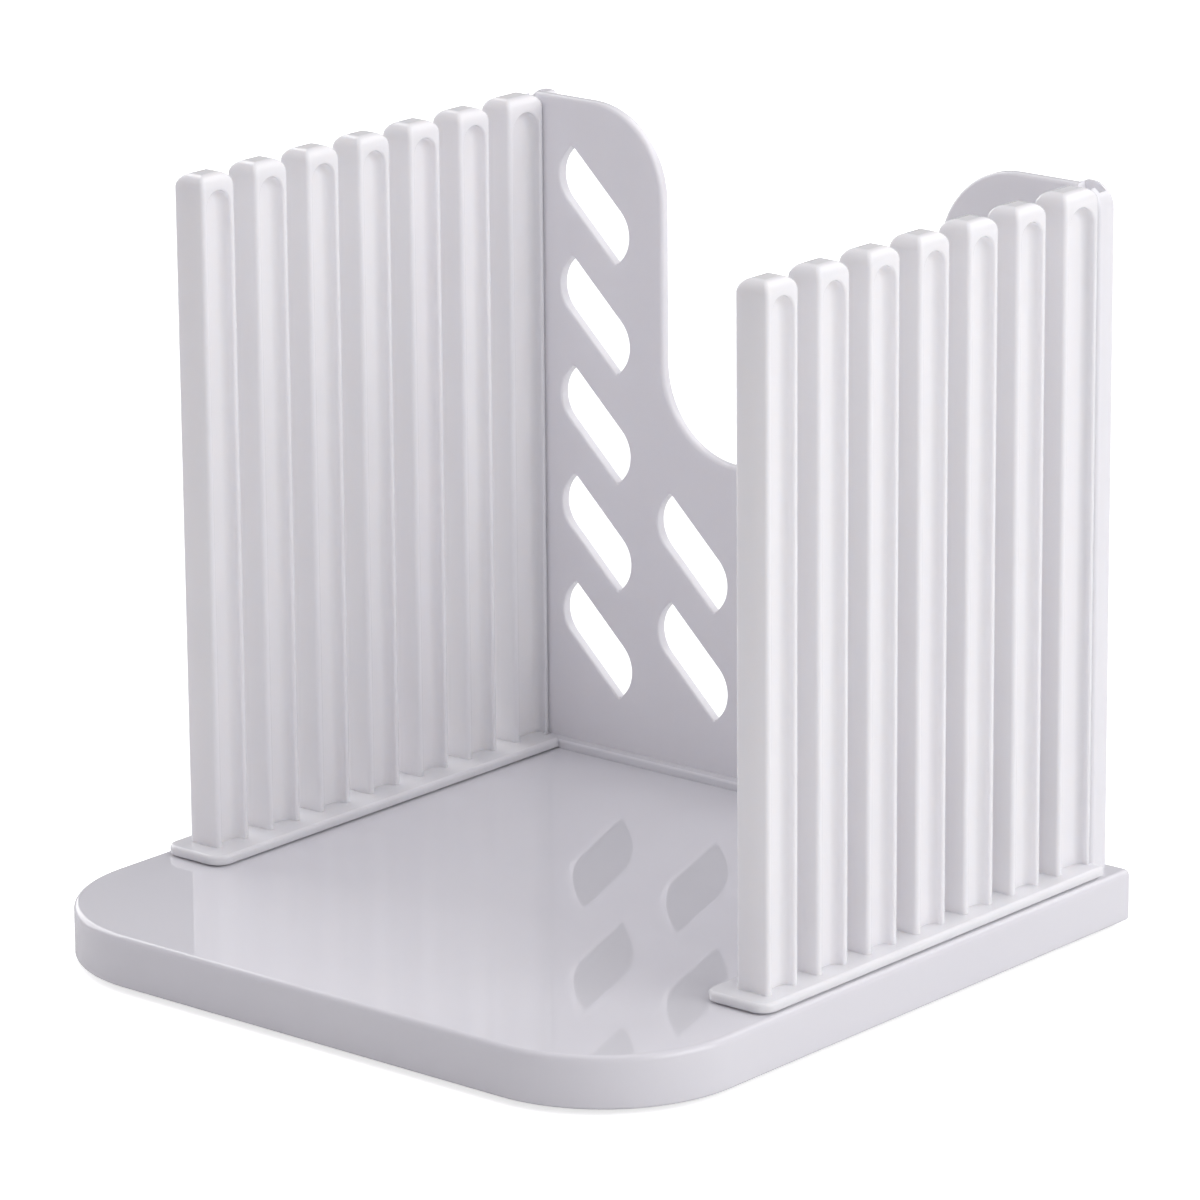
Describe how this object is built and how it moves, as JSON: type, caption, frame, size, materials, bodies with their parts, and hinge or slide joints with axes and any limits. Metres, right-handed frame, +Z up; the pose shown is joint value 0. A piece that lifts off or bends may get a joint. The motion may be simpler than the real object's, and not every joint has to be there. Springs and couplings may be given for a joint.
{
  "type": "bread slicer guide",
  "caption": "Bread slicing guide: a board with slotted side guides that slide down into a perforated back panel with a U-shaped cut-out.",
  "frame": {"origin": "on the table, under the middle of the board", "axes": "+X to the right seen from the front, +Y towards the back panel, +Z up"},
  "size_m": [0.156, 0.1548, 0.1492],
  "materials": {
    "white_plastic": "glossy moulded",
    "screw_steel": "zinc plated",
    "foot_rubber": "matte"
  },
  "bodies": {
    "base": {"base_board": "white_plastic", "base_underplate": "white_plastic", "underplate_screws": "screw_steel", "foot_front_left": "foot_rubber", "foot_front_right": "foot_rubber", "foot_back_left": "foot_rubber", "foot_back_right": "foot_rubber"},
    "back_panel": {"back_panel": "white_plastic"},
    "left_guide": {"left_guide": "white_plastic"},
    "right_guide": {"right_guide": "white_plastic"}
  },
  "joints": [
    {"name": "panel_lift", "type": "slide", "parent": "base", "child": "back_panel", "axis": [0, 0, 1], "range_m": [0, 0.04]},
    {"name": "left_guide_slide", "type": "slide", "parent": "back_panel", "child": "left_guide", "axis": [0, 0, 1], "range_m": [0, 0.135]},
    {"name": "right_guide_slide", "type": "slide", "parent": "back_panel", "child": "right_guide", "axis": [0, 0, 1], "range_m": [0, 0.135]}
  ]
}
